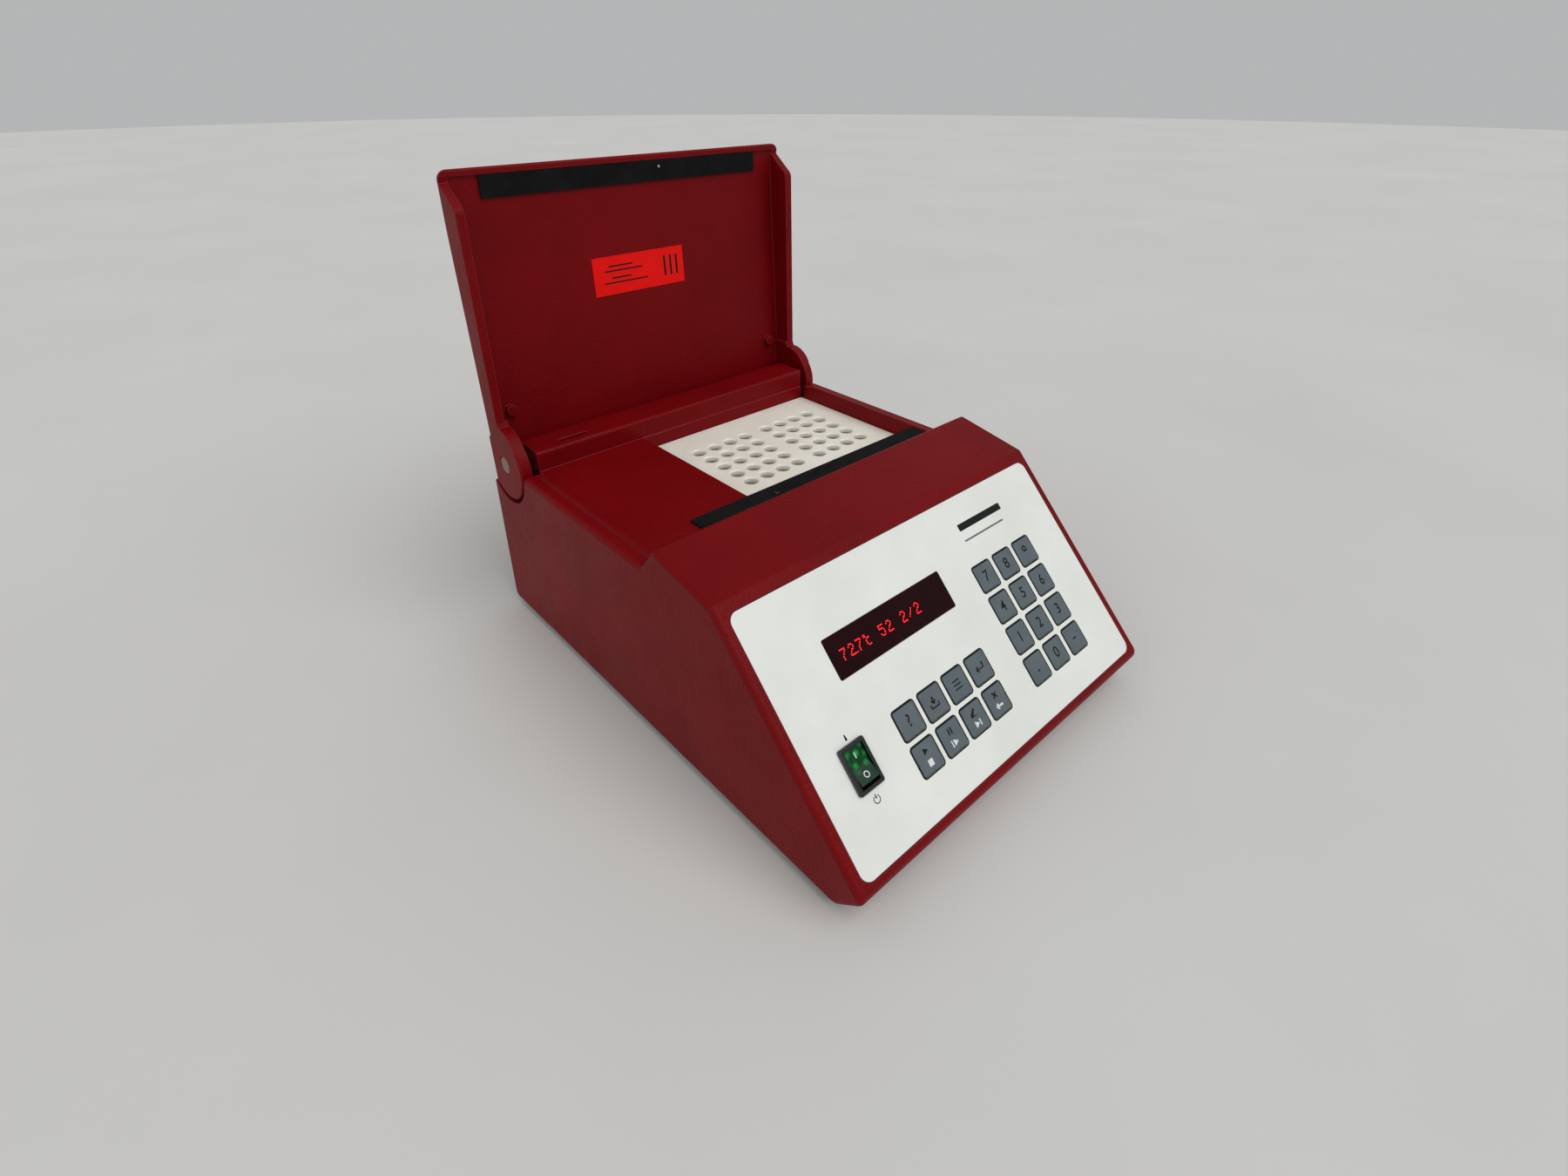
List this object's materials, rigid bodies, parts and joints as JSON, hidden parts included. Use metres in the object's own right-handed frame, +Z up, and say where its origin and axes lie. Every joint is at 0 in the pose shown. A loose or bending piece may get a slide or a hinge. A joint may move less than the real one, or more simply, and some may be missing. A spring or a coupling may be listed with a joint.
{
  "type": "thermal cycler",
  "caption": "Bench-top thermal cycler: wedge casing with sloping keypad panel, hinged lid and a sample block of round wells.",
  "frame": {"origin": "middle of the overall box on the surface it stands on, at the underside of the feet, lid open", "axes": "+X to the operator's right, +Y to the back, +Z up"},
  "size_m": [0.23, 0.3108, 0.2647],
  "materials": {
    "crimson_lacquer": "satin, fine stipple",
    "base_sheet": "satin",
    "black_rubber": "matte",
    "zinc_screw": "satin",
    "pin_steel": "satin",
    "black_foam": "matte",
    "red_label": "satin",
    "white_overlay": "matte",
    "plate_aluminium": "satin",
    "red_window": "gloss",
    "led_cells": "gloss",
    "circuit_board": "satin",
    "silicone_mat": "matte",
    "black_gloss": "gloss",
    "green_rocker": "gloss",
    "brass_blade": "satin",
    "cream_plastic": "satin",
    "block_aluminium": "satin",
    "foam_collar": "matte",
    "peltier_ceramic": "satin",
    "sink_aluminium": "satin",
    "grey_plastic": "satin",
    "fan_black": "satin",
    "copper_winding": "gloss",
    "chip_black": "matte",
    "black_matte": "satin",
    "nickel_blade": "bright",
    "key_grey": "matte"
  },
  "bodies": {
    "casing": {"case_shell": "crimson_lacquer", "base_plate": "base_sheet", "rubber_feet": "black_rubber", "base_screws": "zinc_screw", "hinge_pins": "pin_steel", "deck_strip": "black_foam", "panel_overlay": "white_overlay", "panel_plate": "plate_aluminium", "display_window": "red_window", "display_cells": "led_cells", "display_board": "circuit_board", "key_mats": "silicone_mat", "keypad_boards": "circuit_board", "switch_housing": "black_gloss", "switch_axle": "zinc_screw", "switch_terminals": "brass_blade", "block_cover": "cream_plastic", "sample_block": "block_aluminium", "block_collar": "foam_collar", "peltier_modules": "peltier_ceramic", "block_sensor": "zinc_screw", "heat_sink": "sink_aluminium", "sink_posts": "grey_plastic", "fan_frame": "fan_black", "fan_screws": "zinc_screw", "transformer": "copper_winding", "transformer_clamp": "zinc_screw", "transformer_pad": "black_rubber", "control_board": "circuit_board", "board_parts": "chip_black", "board_standoffs": "brass_blade", "mains_inlet": "black_matte", "inlet_blades": "nickel_blade", "rear_screws": "zinc_screw", "data_socket": "nickel_blade"},
    "lid": {"lid_shell": "crimson_lacquer", "lid_strip": "black_foam", "lid_label": "red_label"},
    "rocker": {"power_rocker": "green_rocker"},
    "impeller": {"fan_impeller": "fan_black"},
    "press_7": {"key_7": "key_grey"},
    "press_8": {"key_8": "key_grey"},
    "press_9": {"key_9": "key_grey"},
    "press_4": {"key_4": "key_grey"},
    "press_5": {"key_5": "key_grey"},
    "press_6": {"key_6": "key_grey"},
    "press_1": {"key_1": "key_grey"},
    "press_2": {"key_2": "key_grey"},
    "press_3": {"key_3": "key_grey"},
    "press_dot": {"key_dot": "key_grey"},
    "press_0": {"key_0": "key_grey"},
    "press_minus": {"key_minus": "key_grey"},
    "press_help": {"key_help": "key_grey"},
    "press_store": {"key_store": "key_grey"},
    "press_menu": {"key_menu": "key_grey"},
    "press_enter": {"key_enter": "key_grey"},
    "press_start": {"key_start": "key_grey"},
    "press_pause": {"key_pause": "key_grey"},
    "press_edit": {"key_edit": "key_grey"},
    "press_clear": {"key_clear": "key_grey"}
  },
  "joints": [
    {"name": "lid_hinge", "type": "hinge", "parent": "casing", "child": "lid", "pos_m": [0, 0.12889, 0.1073], "axis": [1, 0, 0], "range_deg": [0, 92]},
    {"name": "rocker_tip", "type": "hinge", "parent": "casing", "child": "rocker", "pos_m": [-0.0853, -0.12386, 0.04912], "axis": [1, 0, 0], "range_deg": [0, 18]},
    {"name": "fan_spin", "type": "hinge", "parent": "casing", "child": "impeller", "pos_m": [0.04, 0.13339, 0.046], "axis": [0, 1, 0], "continuous": true},
    {"name": "press_7_in", "type": "slide", "parent": "casing", "child": "press_7", "axis": [0, 0.7139, -0.7003], "range_m": [0, 0.0004], "stiffness_N_per_m": 200, "springref_m": -0.002},
    {"name": "press_8_in", "type": "slide", "parent": "casing", "child": "press_8", "axis": [0, 0.7139, -0.7003], "range_m": [0, 0.0004], "stiffness_N_per_m": 200, "springref_m": -0.002},
    {"name": "press_9_in", "type": "slide", "parent": "casing", "child": "press_9", "axis": [0, 0.7139, -0.7003], "range_m": [0, 0.0004], "stiffness_N_per_m": 200, "springref_m": -0.002},
    {"name": "press_4_in", "type": "slide", "parent": "casing", "child": "press_4", "axis": [0, 0.7139, -0.7003], "range_m": [0, 0.0004], "stiffness_N_per_m": 200, "springref_m": -0.002},
    {"name": "press_5_in", "type": "slide", "parent": "casing", "child": "press_5", "axis": [0, 0.7139, -0.7003], "range_m": [0, 0.0004], "stiffness_N_per_m": 200, "springref_m": -0.002},
    {"name": "press_6_in", "type": "slide", "parent": "casing", "child": "press_6", "axis": [0, 0.7139, -0.7003], "range_m": [0, 0.0004], "stiffness_N_per_m": 200, "springref_m": -0.002},
    {"name": "press_1_in", "type": "slide", "parent": "casing", "child": "press_1", "axis": [0, 0.7139, -0.7003], "range_m": [0, 0.0004], "stiffness_N_per_m": 200, "springref_m": -0.002},
    {"name": "press_2_in", "type": "slide", "parent": "casing", "child": "press_2", "axis": [0, 0.7139, -0.7003], "range_m": [0, 0.0004], "stiffness_N_per_m": 200, "springref_m": -0.002},
    {"name": "press_3_in", "type": "slide", "parent": "casing", "child": "press_3", "axis": [0, 0.7139, -0.7003], "range_m": [0, 0.0004], "stiffness_N_per_m": 200, "springref_m": -0.002},
    {"name": "press_dot_in", "type": "slide", "parent": "casing", "child": "press_dot", "axis": [0, 0.7139, -0.7003], "range_m": [0, 0.0004], "stiffness_N_per_m": 200, "springref_m": -0.002},
    {"name": "press_0_in", "type": "slide", "parent": "casing", "child": "press_0", "axis": [0, 0.7139, -0.7003], "range_m": [0, 0.0004], "stiffness_N_per_m": 200, "springref_m": -0.002},
    {"name": "press_minus_in", "type": "slide", "parent": "casing", "child": "press_minus", "axis": [0, 0.7139, -0.7003], "range_m": [0, 0.0004], "stiffness_N_per_m": 200, "springref_m": -0.002},
    {"name": "press_help_in", "type": "slide", "parent": "casing", "child": "press_help", "axis": [0, 0.7139, -0.7003], "range_m": [0, 0.0004], "stiffness_N_per_m": 200, "springref_m": -0.002},
    {"name": "press_store_in", "type": "slide", "parent": "casing", "child": "press_store", "axis": [0, 0.7139, -0.7003], "range_m": [0, 0.0004], "stiffness_N_per_m": 200, "springref_m": -0.002},
    {"name": "press_menu_in", "type": "slide", "parent": "casing", "child": "press_menu", "axis": [0, 0.7139, -0.7003], "range_m": [0, 0.0004], "stiffness_N_per_m": 200, "springref_m": -0.002},
    {"name": "press_enter_in", "type": "slide", "parent": "casing", "child": "press_enter", "axis": [0, 0.7139, -0.7003], "range_m": [0, 0.0004], "stiffness_N_per_m": 200, "springref_m": -0.002},
    {"name": "press_start_in", "type": "slide", "parent": "casing", "child": "press_start", "axis": [0, 0.7139, -0.7003], "range_m": [0, 0.0004], "stiffness_N_per_m": 200, "springref_m": -0.002},
    {"name": "press_pause_in", "type": "slide", "parent": "casing", "child": "press_pause", "axis": [0, 0.7139, -0.7003], "range_m": [0, 0.0004], "stiffness_N_per_m": 200, "springref_m": -0.002},
    {"name": "press_edit_in", "type": "slide", "parent": "casing", "child": "press_edit", "axis": [0, 0.7139, -0.7003], "range_m": [0, 0.0004], "stiffness_N_per_m": 200, "springref_m": -0.002},
    {"name": "press_clear_in", "type": "slide", "parent": "casing", "child": "press_clear", "axis": [0, 0.7139, -0.7003], "range_m": [0, 0.0004], "stiffness_N_per_m": 200, "springref_m": -0.002}
  ]
}
